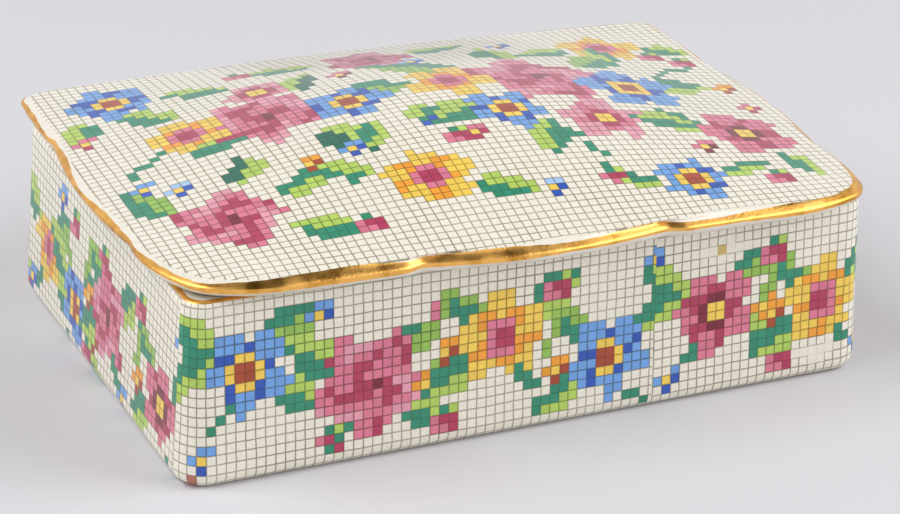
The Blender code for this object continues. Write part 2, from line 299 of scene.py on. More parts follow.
@dataclass(frozen=True)
class Biscuit:
    """Bare fired clay on the foot that the box stands on: dry, buff and faintly speckled."""

    name: str = "bare_biscuit_earthenware"
    colour: str = "D8C6A2"
    speck: str = "B79C72"
    roughness: float = 0.85

    def build(self) -> bpy.types.Material:
        """Makes the material."""
        material, tree, shader = new_material(self.name)
        place = add_node(tree, "ShaderNodeTexCoord")
        grit = add_node(tree, "ShaderNodeTexNoise", {"Scale": 1200.0, "Detail": 4.0},
                        {"Vector": place.outputs["Object"]})
        ramp = add_node(tree, "ShaderNodeValToRGB", None, {"Fac": grit.outputs["Fac"]})
        ramp.color_ramp.elements[0].position = 0.36
        ramp.color_ramp.elements[0].color = linear(self.speck)
        ramp.color_ramp.elements[1].position = 0.50
        ramp.color_ramp.elements[1].color = linear(self.colour)
        tree.links.new(ramp.outputs["Color"], shader.inputs["Base Color"])
        bump = add_node(tree, "ShaderNodeBump", {"Strength": 0.4, "Distance": 0.0002},
                        {"Height": grit.outputs["Fac"]})
        tree.links.new(bump.outputs[0], shader.inputs["Normal"])
        shader.inputs["Roughness"].default_value = self.roughness
        return material


class Part(Enum):
    """The parts of a piece's surface, numbered as its material slots."""

    PRINT = 0
    GLAZE = 1
    GILT = 2
    BISCUIT = 3


class Chart:
    """A canvas-work chart: a colour for each cell that isn't left cream."""

    def __init__(self, seed: int) -> None:
        """Starts an empty chart.

        Args:
            seed: Start of the chart's own random draws.
        """
        self.cells: dict[tuple[int, int], Tint] = {}
        self.worn: set[tuple[int, int]] = set()
        self.draw = random.Random(seed)

    def put(self, column: float, row: float, tint: Tint) -> None:
        """Colours the cell that holds a point of the chart."""
        self.cells[(math.floor(column), math.floor(row))] = tint

    def fill(self, middle: Point, reach: float, rule: Callable[[float, float], Tint | None]) -> None:
        """Colours the cells round a place by a rule.

        Args:
            middle: The place, in cells.
            reach: How far out cells are tried.
            rule: Takes a cell's distance across and up from the middle, and gives its colour.
        """
        span = math.ceil(reach) + 1
        for column in range(math.floor(middle[0]) - span, math.floor(middle[0]) + span + 1):
            for row in range(math.floor(middle[1]) - span, math.floor(middle[1]) + span + 1):
                tint = rule(column + 0.5 - middle[0], row + 0.5 - middle[1])
                if tint is not None:
                    self.cells[(column, row)] = tint

    def flower(self, middle: Point, radius: float, petals: int, tints: tuple[Tint, ...],
               turn: float = 0.0, flat: float = 1.0) -> None:
        """An open flower with lobed petals, shaded from its heart outwards.

        Args:
            middle: Its heart, in cells.
            radius: Its reach, in cells.
            petals: How many petals it has.
            tints: Heart, ring round the heart, petal shade and petal light.
            turn: How far it is turned, in radians.
            flat: Its height against its width.
        """
        heart, ring, shade, light = tints

        def rule(across: float, up: float) -> Tint | None:
            up /= flat
            distance = math.hypot(across, up)
            angle = math.atan2(up, across) - turn
            lobe = abs(math.cos(0.5 * petals * angle))
            edge = radius * (0.62 + 0.38 * lobe ** 0.7)
            if distance > edge:
                return None
            if distance < 0.16 * radius + 0.35:
                return heart
            if distance < 0.30 * radius + 0.45:
                return ring
            creased = lobe < 0.42 or (distance < 0.62 * edge and lobe < 0.8)
            return shade if creased else light

        self.fill(middle, radius, rule)

    def rose(self, middle: Point, radius: float, turn: float = 0.0, flat: float = 1.0) -> None:
        """A full-blown rose, its petals shaded in a whirl.

        Args:
            middle: Its heart, in cells.
            radius: Its reach, in cells.
            turn: How far it is turned, in radians.
            flat: Its height against its width.
        """
        def rule(across: float, up: float) -> Tint | None:
            up /= flat
            distance = math.hypot(across, up)
            angle = math.atan2(up, across) - turn
            edge = radius * (0.86 + 0.14 * math.cos(5.0 * angle))
            if distance > edge:
                return None
            share = distance / edge
            whirl = math.sin(3.0 * angle + 7.0 * share)
            if share < 0.22:
                return Tint.MAROON if across > 0.0 else Tint.CRIMSON
            if share < 0.55:
                return Tint.CRIMSON if whirl > 0.25 else Tint.ROSE
            if whirl > 0.82:
                return Tint.CRIMSON
            return Tint.PINK if whirl < -0.55 else Tint.ROSE

        self.fill(middle, radius, rule)

    def leaf(self, root: Point, angle: float, length: float, width: float,
             tints: tuple[Tint, Tint] = (Tint.TEAL, Tint.LIME)) -> None:
        """A pointed leaf in two greens, split along its vein.

        Args:
            root: Where it starts, in cells.
            angle: Its direction, in degrees from the chart's across.
            length: Its length, in cells.
            width: Its width, in cells.
            tints: The green on its upper side and the one on its lower side.
        """
        along = Vector((math.cos(math.radians(angle)), math.sin(math.radians(angle))))

        def rule(across: float, up: float) -> Tint | None:
            way = (across * along.x + up * along.y) / length
            side = up * along.x - across * along.y
            if not 0.0 <= way <= 1.0:
                return None
            half = 0.5 * width * math.sin(math.pi * way ** 0.8) + 0.22
            if abs(side) > half:
                return None
            return tints[0] if side > 0.0 else tints[1]

        self.fill(root, length, rule)

    def stalk(self, points: list[Point], tint: Tint = Tint.TEAL) -> None:
        """A stalk one cell wide through points.

        Args:
            points: The places that it passes, in cells.
            tint: Its colour.
        """
        for start, finish in zip(points, points[1:]):
            steps = max(1, math.ceil(2.0 * math.dist(start, finish)))
            for step in range(steps + 1):
                share = step / steps
                self.put(start[0] + (finish[0] - start[0]) * share,
                         start[1] + (finish[1] - start[1]) * share, tint)

    def small_flower(self, middle: Point, petal: Tint, shade: Tint, heart: Tint) -> None:
        """A flower of five cells with one more in its shade.

        Args:
            middle: Its heart, in cells.
            petal: The colour of three petals.
            shade: The colour of the petals on its shaded side.
            heart: The colour of its heart.
        """
        column, row = middle
        self.put(column, row, heart)
        self.put(column - 1, row, petal)
        self.put(column, row + 1, petal)
        self.put(column + 1, row + 1, petal)
        self.put(column + 1, row, shade)
        self.put(column, row - 1, shade)

    def bud(self, tip: Point, petal: Tint, shade: Tint) -> None:
        """A bud of six cells on two green ones.

        Args:
            tip: Its lower left cell.
            petal: Its light colour.
            shade: Its dark colour.
        """
        column, row = tip
        for across in range(3):
            self.put(column + across, row, petal if across < 2 else shade)
            self.put(column + across, row + 1, petal if across < 1 else shade)
        self.put(column + 1, row + 2, Tint.TEAL)
        self.put(column + 2, row + 2, Tint.LIME)

    def rag(self, share: float) -> None:
        """Drops a share of the cells along the edges, so that no outline is too even.

        Args:
            share: The share of the edge cells that is dropped.
        """
        steps = ((1, 0), (-1, 0), (0, 1), (0, -1))
        for column, row in sorted(self.cells):
            around = sum((column + a, row + b) in self.cells for a, b in steps)
            if around == 2 and self.draw.random() < share:
                del self.cells[(column, row)]


POPPY = (Tint.YELLOW, Tint.MAROON, Tint.CRIMSON, Tint.ROSE)
CORNFLOWER = (Tint.RUST, Tint.YELLOW, Tint.COBALT, Tint.SKY)
MARIGOLD = (Tint.CRIMSON, Tint.ROSE, Tint.ORANGE, Tint.YELLOW)
MALLOW = (Tint.YELLOW, Tint.CRIMSON, Tint.ROSE, Tint.PINK)


def lid_chart() -> Chart:
    """Charts the lid: three loose bunches, and single flowers and buds strewn between them."""
    chart = Chart(11)
    # The large spray over the middle and right
    for root, angle, length in (((6, 9), 150, 11), ((20, 9), 40, 10), ((4, -2), 205, 9), ((21, -5), 325, 9),
                                ((13, 12), 95, 8), ((26, 3), 5, 8), ((-1, 5), 170, 8), ((9, -7), 255, 7)):
        chart.leaf(root, angle, length, 4.6, (Tint.TEAL, Tint.LIME) if angle % 2 else (Tint.MOSS, Tint.TEAL))
    chart.rose((13, 5), 7.8, 0.3)
    chart.flower((23, 2), 5.8, 5, CORNFLOWER, 0.4)
    chart.flower((3, 5), 5.2, 5, MARIGOLD, 1.1)
    chart.flower((16, -7), 5.0, 5, MALLOW, 0.2)
    chart.flower((6, -4), 4.6, 5, CORNFLOWER, 1.0)
    chart.stalk([(28, 6), (31, 9), (34, 10)])
    chart.bud((33, 11), Tint.ROSE, Tint.CRIMSON)
    chart.stalk([(11, -11), (12, -15), (11, -18)])
    chart.bud((10, -20), Tint.ROSE, Tint.CRIMSON)
    # The spray at the left
    for root, angle, length in (((-20, 3), 200, 9), ((-14, -2), 301, 8), ((-13, 9), 61, 8), ((-25, 10), 140, 8),
                                ((-22, -3), 245, 7)):
        chart.leaf(root, angle, length, 4.2, (Tint.LIME, Tint.PINE) if angle % 2 else (Tint.TEAL, Tint.LIME))
    chart.rose((-18, 4), 6.6, 0.9)
    chart.flower((-9, 3), 4.6, 5, CORNFLOWER, 0.0)
    chart.flower((-26, 5), 4.4, 5, MARIGOLD, 0.5)
    chart.flower((-16, 12), 3.8, 5, MALLOW, 0.8)
    chart.stalk([(-30, 2), (-33, 0), (-34, -3)])
    chart.small_flower((-34, -5), Tint.SKY, Tint.COBALT, Tint.YELLOW)
    chart.small_flower((-31, -7), Tint.PALE_SKY, Tint.COBALT, Tint.YELLOW)
    # Along the back
    chart.leaf((-7, 19), 171, 8, 3.6)
    chart.leaf((4, 20), 20, 8, 3.6, (Tint.LIME, Tint.TEAL))
    chart.rose((-1, 19), 5.4, 1.2)
    chart.flower((27, 18), 5.0, 5, MARIGOLD, 0.2)
    chart.leaf((22, 17), 200, 7, 3.6)
    chart.leaf((32, 18), 330, 6, 3.2, (Tint.LIME, Tint.TEAL))
    chart.flower((-30, 19), 5.0, 5, CORNFLOWER, 0.7)
    chart.leaf((-25, 18), 345, 8, 3.4, (Tint.LIME, Tint.TEAL))
    chart.leaf((-34, 15), 250, 6, 3.4)
    # Along the front
    chart.rose((-28, -15), 6.0, 0.0)
    chart.leaf((-22, -13), 25, 8, 3.8)
    chart.leaf((-23, -19), 345, 8, 3.4, (Tint.LIME, Tint.TEAL))
    chart.leaf((-33, -11), 110, 7, 3.6, (Tint.TEAL, Tint.MOSS))
    chart.flower((-7, -15), 5.0, 5, MARIGOLD, 0.3)
    chart.leaf((-12, -13), 150, 7, 3.6)
    chart.leaf((-3, -17), 335, 7, 3.4, (Tint.LIME, Tint.TEAL))
    chart.flower((31, -10), 5.4, 5, POPPY, 0.6)
    chart.leaf((26, -8), 165, 7, 3.4)
    chart.leaf((33, -15), 285, 6, 3.2, (Tint.LIME, Tint.TEAL))
    chart.flower((20, -20), 4.2, 5, CORNFLOWER, 0.0)
    chart.leaf((24, -19), 15, 6, 3.0)
    chart.leaf((16, -20), 170, 4, 2.6, (Tint.LIME, Tint.TEAL))
    # Strewn buds and small flowers
    for column, row, petal, shade in ((-4, -5, Tint.SKY, Tint.COBALT), (0, -9, Tint.ROSE, Tint.CRIMSON),
                                      (-18, -9, Tint.ORANGE, Tint.RUST), (24, -14, Tint.ROSE, Tint.MAROON),
                                      (-7, 12, Tint.ROSE, Tint.MAROON), (15, 20, Tint.SKY, Tint.COBALT),
                                      (35, 3, Tint.ORANGE, Tint.RUST), (-13, -8, Tint.SKY, Tint.COBALT),
                                      (2, 14, Tint.PALE_SKY, Tint.COBALT), (-36, 9, Tint.ROSE, Tint.CRIMSON),
                                      (4, -20, Tint.PALE_SKY, Tint.COBALT), (35, -3, Tint.ROSE, Tint.CRIMSON)):
        chart.small_flower((column, row), petal, shade, Tint.YELLOW)
    for column, row in ((-17, 19), (28, -22), (-17, -22), (-3, -10), (30, 13)):
        chart.bud((column, row), Tint.ROSE, Tint.CRIMSON)
    chart.leaf((-2, -1), 240, 5, 2.6)
    chart.leaf((26, 12), 100, 6, 3.0, (Tint.LIME, Tint.TEAL))
    chart.leaf((-9, -3), 260, 5, 2.4, (Tint.LIME, Tint.TEAL))
    chart.rag(0.22)
    return chart


def wall_chart(columns: float) -> Chart:
    """Charts the strip round the box's wall, as if unrolled from the middle of its back.

    Args:
        columns: How many cells go round.

    Returns:
        The chart, whose rows start at the foot.
    """
    chart = Chart(23)
    bunches = (
        (0.020, 9.0, "cornflower"), (0.075, 8.0, "rose"), (0.125, 11.0, "marigold"),
        (0.185, 9.0, "marigold"), (0.222, 6.5, "cornflower"), (0.262, 10.0, "rose"),
        (0.325, 8.0, "poppy"), (0.375, 12.0, "cornflower"), (0.425, 8.5, "rose"),
        (0.482, 11.0, "marigold"), (0.530, 7.0, "cornflower"), (0.580, 10.0, "poppy"),
        (0.632, 9.0, "marigold"), (0.685, 7.5, "rose"), (0.735, 11.0, "cornflower"),
        (0.785, 8.0, "poppy"), (0.845, 10.0, "rose"), (0.905, 7.0, "marigold"),
        (0.955, 11.0, "poppy"),
    )
    petals = {"cornflower": CORNFLOWER, "marigold": MARIGOLD, "poppy": POPPY}
    for place, row, kind in bunches:
        column = place * columns
        side = chart.draw.choice((-1, 1))
        chart.leaf((column + 3 * side, row + 2), 90 - 55 * side, 7, 3.6)
        chart.leaf((column - 3 * side, row - 2), 270 - 60 * side, 6.5, 3.2, (Tint.LIME, Tint.TEAL))
        chart.leaf((column - 2 * side, row + 3), 90 + 60 * side, 5.5, 2.8, (Tint.TEAL, Tint.MOSS))
        if kind == "rose":
            chart.rose((column, row), 5.0 + chart.draw.random(), chart.draw.uniform(0.0, 6.0))
        else:
            chart.flower((column, row), 4.0 + chart.draw.random(), 5, petals[kind],
                         chart.draw.uniform(0.0, 1.2))
        chart.stalk([(column + 2 * side, row - 4), (column + 4 * side, row - 6)])
        chart.small_flower((column + 5 * side, 3 if row > 8.5 else 16), Tint.SKY, Tint.COBALT,
                           Tint.YELLOW)
        chart.bud((column - 7 * side, 14 if row < 9.5 else 2), Tint.ROSE, Tint.CRIMSON)
        chart.stalk([(column - 6 * side, row + 4), (column - 7 * side, row + 1)], Tint.MOSS)
        chart.small_flower((column - 6 * side, row - 1), Tint.ORANGE, Tint.RUST, Tint.YELLOW)
    chart.rag(0.22)
    # Flaws of the front: a scraped patch, broken lines with a stain, and a chip at the left corner
    chart.worn |= {(column, 3) for column in range(151, 157)} | {(154, 2), (155, 2), (156, 4)}
    chart.worn |= {(column, 16) for column in range(141, 147)} | {(143, 15), (144, 17)}
    chart.put(143, 16, Tint.STAIN)
    for column, row in ((85, 0), (86, 0), (86, 1)):
        chart.put(column, row, Tint.CHIP)
    return chart


@dataclass(frozen=True)
class Sheet:
    """One transfer sheet: where it starts, how it is tilted, and where its cells begin."""

    start: float
    tilt: float
    across: float
    up: float

    def cell_place(self, x: float, y: float, cell: float) -> Point:
        """A flat place of the sheet, counted in cells."""
        cosine, sine = math.cos(self.tilt), math.sin(self.tilt)
        right, up = x - self.start, y
        return ((right * cosine + up * sine) / cell + self.start / cell + self.across,
                (up * cosine - right * sine) / cell + self.up)


def cut_along_cells(mesh: bmesh.types.BMesh, faces: list[bmesh.types.BMFace], sheet: Sheet,
                    cell: float) -> None:
    """Cuts faces along the lines of a sheet's cells, seen from above.

    Args:
        mesh: The mesh that holds the faces.
        faces: The faces that the sheet covers.
        sheet: The sheet.
        cell: The size of a cell, in metres.
    """
    places = [sheet.cell_place(v.co.x, v.co.y, cell) for f in faces for v in f.verts]
    across = Vector((math.cos(sheet.tilt), math.sin(sheet.tilt), 0.0))
    up = Vector((-across.y, across.x, 0.0))
    start = Vector((sheet.start, 0.0, 0.0))
    held = list({item for f in faces for item in (*f.verts, *f.edges)}) + faces
    for axis, direction, offset in ((0, across, sheet.start / cell + sheet.across), (1, up, sheet.up)):
        low = math.ceil(min(p[axis] for p in places) + 1e-6)
        high = math.floor(max(p[axis] for p in places) - 1e-6)
        for line in range(low, high + 1):
            plane = start + direction * (line - offset) * cell
            held = bmesh.ops.bisect_plane(mesh, geom=held, dist=1e-7, plane_co=plane,
                                          plane_no=direction)["geom"]


class Dyer:
    """Gives faces their enamel, cell by cell, and the places that their lines are drawn from."""

    def __init__(self, mesh: bmesh.types.BMesh, chart: Chart, seed: int) -> None:
        """Adds the layers that the printed finish reads.

        Args:
            mesh: The mesh of the piece.
            chart: The chart that the colours come from.
            seed: Start of the random draws.
        """
        self.chart = chart
        self.seed = seed
        self.enamel = mesh.loops.layers.float_color.new("enamel")
        self.ink = mesh.faces.layers.float.new("ink")
        self.stitch = mesh.loops.layers.uv.new("stitch")
        self.ground = linear(Tint.CREAM.value)

    def dye(self, face: bmesh.types.BMFace, places: list[Point], inked: bool) -> None:
        """Colours one face by the cell under its middle.

        Args:
            face: The face.
            places: The chart place of each of its corners.
            inked: Whether the canvas lines reach this face.
        """
        column = math.floor(sum(p[0] for p in places) / len(places))
        row = math.floor(sum(p[1] for p in places) / len(places))
        tint = self.chart.cells.get((column, row)) if inked else None
        colour = linear(tint.value) if tint else self.ground
        draw = random.Random(self.seed + 7919 * column + 104729 * row)
        shade = draw.uniform(0.93, 1.07) if tint else draw.uniform(0.985, 1.015)
        strength = 0.15 if (column, row) in self.chart.worn else 0.55 if tint in DEEP_TINTS else 1.0
        face[self.ink] = strength if inked else 0.0
        for loop, place in zip(face.loops, places):
            loop[self.stitch].uv = place
            loop[self.enamel] = (colour[0] * shade, colour[1] * shade, colour[2] * shade, 1.0)


def finish_piece(name: str, mesh: bmesh.types.BMesh, materials: list[bpy.types.Material]) -> bpy.types.Object:
    """Turns a finished bmesh into a piece of the scene.

    Args:
        name: The piece's name.
        mesh: Its mesh, in place.
        materials: Its materials, in the order of Part.

    Returns:
        The piece, which rides on the object's one body.
    """
    bmesh.ops.recalc_face_normals(mesh, faces=mesh.faces)
    data = bpy.data.meshes.new(name)
    mesh.to_mesh(data)
    mesh.free()
    data.shade_smooth()
    data.set_sharp_from_angle(angle=math.radians(50.0))
    for material in materials:
        data.materials.append(material)
    piece = bpy.data.objects.new(name, data)
    bpy.context.scene.collection.objects.link(piece)
    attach(piece, "root")
    return piece


def boundary(mesh: bmesh.types.BMesh, test: Callable[[bmesh.types.BMEdge], bool]) -> list[bmesh.types.BMEdge]:
    """The open edges that pass a test."""
    return [e for e in mesh.edges if len(e.link_faces) == 1 and test(e)]


def grow(mesh: bmesh.types.BMesh, edges: list[bmesh.types.BMEdge], move: Callable, part: Part) -> list:
    """Extrudes an open edge loop into the next ring.

    Args:
        mesh: The mesh.
        edges: The loop's edges.
        move: Takes one of the ring's new vertices and puts it in its place.
        part: What the new faces are.

    Returns:
        The edges of the new ring.
    """
    grown = bmesh.ops.extrude_edge_only(mesh, edges=edges)["geom"]
    for item in grown:
        if isinstance(item, bmesh.types.BMVert):
            move(item)
        elif isinstance(item, bmesh.types.BMFace):
            item.material_index = part.value
    return [e for e in grown if isinstance(e, bmesh.types.BMEdge) and len(e.link_faces) == 1]


def close(mesh: bmesh.types.BMesh, edges: list[bmesh.types.BMEdge], middle: Vector, part: Part) -> None:
    """Closes an open ring with a fan round a middle point.

    Args:
        mesh: The mesh.
        edges: The ring's edges.
        middle: Where the fan's point lies.
        part: What the new faces are.
    """
    made = bmesh.ops.contextual_create(mesh, geom=edges)["faces"]
    poked = bmesh.ops.poke(mesh, faces=made)
    for vertex in poked["verts"]:
        vertex.co = middle
    for face in poked["faces"]:
        face.material_index = part.value


@dataclass(frozen=True)
class BoxBody:
    """The box: a printed wall on a foot ring, open at the top and hollow."""

    length: float = 168.4 * MM
    width: float = 114.5 * MM
    height: float = 43.0 * MM
    lean: float = math.radians(2.94)
    corner_radius: float = 7.2 * MM
    foot_rounding: float = 3.5 * MM
    lip_rounding: float = 1.6 * MM
    wall: float = 4.5 * MM
    floor: float = 5.0 * MM
    inside_radius: float = 6.0 * MM
    inside_fillet: float = 5.0 * MM
    foot_ring: float = 6.0 * MM
    recess: float = 1.5 * MM
    recess_slope: float = 1.2 * MM
    cell: float = 2.25 * MM
    rounding_steps: int = 6
    unevenness: float = 0.10 * MM
    sheets: tuple[Sheet, ...] = (
        Sheet(0.0, 0.0, 0.20, -0.55),
        Sheet(80.0 * MM, math.radians(-1.6), 0.35, -0.10),
        Sheet(189.0 * MM, math.radians(0.05), 0.0, -0.45),
        Sheet(304.5 * MM, math.radians(1.1), 0.42, -0.20),
        Sheet(410.0 * MM, math.radians(-0.7), 0.10, -0.60),
        Sheet(520.0 * MM, 0.0, 0.45, -0.55),
    )

    @property
    def straight_x(self) -> float:
        """Length of the straight stretch of the front."""
        return self.length - 2.0 * self.corner_radius

    @property
    def straight_y(self) -> float:
        """Length of the straight stretch of an end."""
        return self.width - 2.0 * self.corner_radius

    @property
    def arc(self) -> float:
        """Length round one corner at the foot."""
        return 0.5 * math.pi * self.corner_radius

    @property
    def around(self) -> float:
        """Length round the whole foot."""
        return 2.0 * (self.straight_x + self.straight_y) + 4.0 * self.arc

    def corner_spans(self) -> list[tuple[float, float]]:
        """Where each corner starts and ends, measured round from the middle of the back."""
        spans = []
        at = 0.5 * self.straight_x
        for side in (self.straight_y, self.straight_x, self.straight_y, self.straight_x):
            spans.append((at, at + self.arc))
            at += self.arc + side
        return spans

    def place(self, along: float, inset: float, inside: bool = False) -> Point:
        """A point of the rounded outline, seen from above.

        Args:
            along: How far round it is, measured at the foot from the middle of the back, by
                the left, the front and the right.
            inset: How far the outline has come in.
            inside: Whether it follows the inside's tighter corners.

        Returns:
            The point.
        """
        full = self.inside_radius if inside else self.corner_radius
        radius = max(full - inset, 0.2 * full)
        reach = self.wall + inset if inside else inset
        centre_x = 0.5 * self.length - reach - radius
        centre_y = 0.5 * self.width - reach - radius
        centres = ((-centre_x, centre_y), (-centre_x, -centre_y), (centre_x, -centre_y), (centre_x, centre_y))
        straights = (self.straight_x, self.straight_y, self.straight_x, self.straight_y)
        along = (along + 0.5 * self.straight_x) % self.around
        for side, straight in enumerate(straights):
            before = centres[side - 1]
            after = centres[side]
            heading = 0.5 * math.pi * (side + 1)
            outward = Vector((math.cos(heading), math.sin(heading))) * radius
            if along <= straight:
                share = along / straight
                x = before[0] + (after[0] - before[0]) * share + outward.x
                y = before[1] + (after[1] - before[1]) * share + outward.y
                return x, y
            along -= straight
            if along <= self.arc:
                angle = heading + 0.5 * math.pi * along / self.arc
                return after[0] + radius * math.cos(angle), after[1] + radius * math.sin(angle)
            along -= self.arc
        return self.place(-0.5 * self.straight_x, inset, inside)

    def wall_inset(self, height: float) -> float:
        """How far the outside has come in at a height above the foot."""
        return height * math.tan(self.lean)

    def profile(self, climb: float) -> Point:
        """The outside's inset and height.

        Args:
            climb: How far up the printed side, from the foot ring's edge.

        Returns:
            The inset and the height there.
        """
        foot_arc = 0.5 * math.pi * self.foot_rounding
        lip_arc = 0.5 * math.pi * self.lip_rounding
        wall = self.height - self.foot_rounding - self.lip_rounding
        if climb < foot_arc:
            angle = climb / self.foot_rounding
            height = self.foot_rounding * (1.0 - math.cos(angle))
            return self.foot_rounding * (1.0 - math.sin(angle)) + self.wall_inset(height), height
        if climb < foot_arc + wall:
            height = self.foot_rounding + climb - foot_arc
            return self.wall_inset(height), height
        angle = min(climb - foot_arc - wall, lip_arc) / self.lip_rounding
        height = self.height - self.lip_rounding * (1.0 - math.sin(angle))
        return self.wall_inset(height) + self.lip_rounding * (1.0 - math.cos(angle)), height

    @property
    def strip_height(self) -> float:
        """Height of the strip that wraps the outside, from the foot ring to the top of the lip."""
        roundings = 0.5 * math.pi * (self.foot_rounding + self.lip_rounding)
        return roundings + self.height - self.foot_rounding - self.lip_rounding

    def build(self, materials: list[bpy.types.Material]) -> bpy.types.Object:
        """Makes the box's mesh and dresses it.

        Args:
            materials: The materials, in the order of Part.

        Returns:
            The finished piece.
        """
        chart = wall_chart(self.around / self.cell)
        mesh = bmesh.new()
        corners = [mesh.verts.new((x, y, 0.0)) for x, y in
                   ((0.0, 0.0), (self.around, 0.0), (self.around, self.strip_height), (0.0, self.strip_height))]
        mesh.faces.new(corners)
        self.cut_strip(mesh)
        dyer = Dyer(mesh, chart, 500)
        along_layer = mesh.verts.layers.float.new("along")
        gilt_line = self.strip_height - 0.75 * self.lip_rounding
        starts = [s.start for s in self.sheets] + [self.around]
        for face in mesh.faces:
            middle = face.calc_center_median()
            sheet = self.sheets[max(k for k in range(len(self.sheets)) if middle.x > starts[k])]
            places = [sheet.cell_place(l.vert.co.x, l.vert.co.y, self.cell) for l in face.loops]
            inked = 1.1 * MM < middle.y < gilt_line
            dyer.dye(face, places, inked)
            face.material_index = Part.GILT.value if middle.y > gilt_line else Part.PRINT.value
        for vertex in mesh.verts:
            vertex[along_layer] = vertex.co.x
            self.wrap(vertex)
        bmesh.ops.remove_doubles(mesh, verts=mesh.verts, dist=1e-6)
        self.line_inside(mesh, along_layer)
        self.make_foot(mesh, along_layer)
        box = finish_piece("printed_box", mesh, materials)
        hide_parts("box")
        return box

    def cut_strip(self, mesh: bmesh.types.BMesh) -> None:
        """Cuts the flat strip at its seams, along every sheet's cells, and finer on its bends."""
        def cut(x: float, y: float, across: bool) -> None:
            geom = list(mesh.verts) + list(mesh.edges) + list(mesh.faces)
            normal = (1.0, 0.0, 0.0) if across else (0.0, 1.0, 0.0)
            bmesh.ops.bisect_plane(mesh, geom=geom, dist=1e-7, plane_co=(x, y, 0.0), plane_no=normal)

        foot_arc = 0.5 * math.pi * self.foot_rounding
        lip_arc = 0.5 * math.pi * self.lip_rounding
        cut(0.0, 1.1 * MM, False)
        cut(0.0, self.strip_height - 0.75 * self.lip_rounding, False)
        for step in range(1, self.rounding_steps + 1):
            cut(0.0, foot_arc * step / self.rounding_steps, False)
            cut(0.0, self.strip_height - lip_arc * step / self.rounding_steps, False)
        for sheet in self.sheets[1:]:
            cut(sheet.start, 0.0, True)
        for start, end in self.corner_spans():
            for step in range(13):
                cut(start + (end - start) * step / 12, 0.0, True)
        starts = [s.start for s in self.sheets] + [self.around]
        for sheet, start, end in zip(self.sheets, starts, starts[1:]):
            faces = [f for f in mesh.faces if start < f.calc_center_median().x < end]
            cut_along_cells(mesh, faces, sheet, self.cell)

    def wrap(self, vertex: bmesh.types.BMVert) -> None:
        """Lays a vertex of the flat strip onto the wall, which isn't quite even."""
        along, climb = vertex.co.x, vertex.co.y
        inset, height = self.profile(climb)
        x, y = self.place(along, inset)
        swell = noise.noise(Vector((x, y, height)) * 28.0) * self.unevenness
        fade = ease(height / (10.0 * MM)) * ease((self.height - height) / (8.0 * MM))
        inset -= swell * fade
        x, y = self.place(along, inset)
        vertex.co = (x, y, height)

    def line_inside(self, mesh: bmesh.types.BMesh, along: bmesh.types.BMLayerItem) -> None:
        """Carries the lip over into the inner wall, the fillet and the floor."""
        top = boundary(mesh, lambda e: e.verts[0].co.z > 0.5 * self.height)
        rings: list[tuple[float, float]] = []
        lip_start = self.height - self.lip_rounding
        for step in range(self.rounding_steps + 1):
            angle = 0.5 * math.pi * step / self.rounding_steps
            height = lip_start + self.lip_rounding * math.cos(angle)
            rings.append((self.wall_inset(height) - self.lip_rounding * (1.0 - math.sin(angle)), height))
        floor_top = self.recess + self.floor
        for step in range(self.rounding_steps + 1):
            angle = 0.5 * math.pi * step / self.rounding_steps
            height = floor_top + self.inside_fillet * (1.0 - math.sin(angle))
            rings.append((self.wall_inset(height) + self.inside_fillet * (1.0 - math.cos(angle)), height))
        for inset, height in rings:
            def move(vertex: bmesh.types.BMVert, inset: float = inset, height: float = height) -> None:
                x, y = self.place(vertex[along], inset, inside=True)
                vertex.co = (x, y, height)
            top = grow(mesh, top, move, Part.GLAZE)
        close(mesh, top, Vector((0.0, 0.0, floor_top)), Part.GLAZE)

    def make_foot(self, mesh: bmesh.types.BMesh, along: bmesh.types.BMLayerItem) -> None:
        """Adds the bare foot ring and the shallow glazed recess inside it."""
        inner = self.foot_rounding + self.foot_ring
        bottom = boundary(mesh, lambda e: e.verts[0].co.z < 0.5 * self.height)
        for inset, height, part in ((inner, 0.0, Part.BISCUIT), (inner + self.recess_slope, self.recess, Part.GLAZE)):
            def move(vertex: bmesh.types.BMVert, inset: float = inset, height: float = height) -> None:
                x, y = self.place(vertex[along], inset)
                vertex.co = (x, y, height)
            bottom = grow(mesh, bottom, move, part)
        close(mesh, bottom, Vector((0.0, 0.0, self.recess)), Part.GLAZE)


@dataclass(frozen=True)
class Corner:
    """How far two sides have bent away where they would meet, and where the corner's curve starts."""

    long_drop: float
    short_drop: float
    cut: float


@dataclass(frozen=True)
class WavySide:
    """One side of the lid's edge, from its middle to a corner: a lobe, a notch and a side lobe."""

    reach: float
    half_length: float
    notch_depth: float
    lobe_step: float
    shoulder: float
    corner_drop: float
    notch: float = 28.6 * MM
    lobe_start: float = 33.6 * MM
    lobe_power: float = 1.8

    def sway(self, along: float) -> float:
        """How far the edge lies outside its middle lobe's line; it is never above zero."""
        if along <= self.notch:
            return -self.notch_depth * (along / self.notch) ** self.lobe_power
        if along <= self.lobe_start:
            climb = ease((along - self.notch) / (self.lobe_start - self.notch))
            return -self.notch_depth + (self.notch_depth - self.lobe_step) * climb
        if along <= self.shoulder:
            return -self.lobe_step
        fall = (along - self.shoulder) / (self.half_length - self.shoulder)
        return -self.lobe_step - self.corner_drop * fall ** 2

    def waved(self, along: float, waviness: float) -> float:
        """The edge's place across, with its notch left out as waviness goes to 0."""
        calm = self.sway(along)
        if along < self.shoulder:
            calm = -self.lobe_step * ease(along / self.shoulder)
        return self.reach + calm + (self.sway(along) - calm) * waviness

    def slope_at(self, along: float) -> float:
        """Slope of the edge on its way to the corner."""
        return -2.0 * self.corner_drop * (along - self.shoulder) / (self.half_length - self.shoulder) ** 2


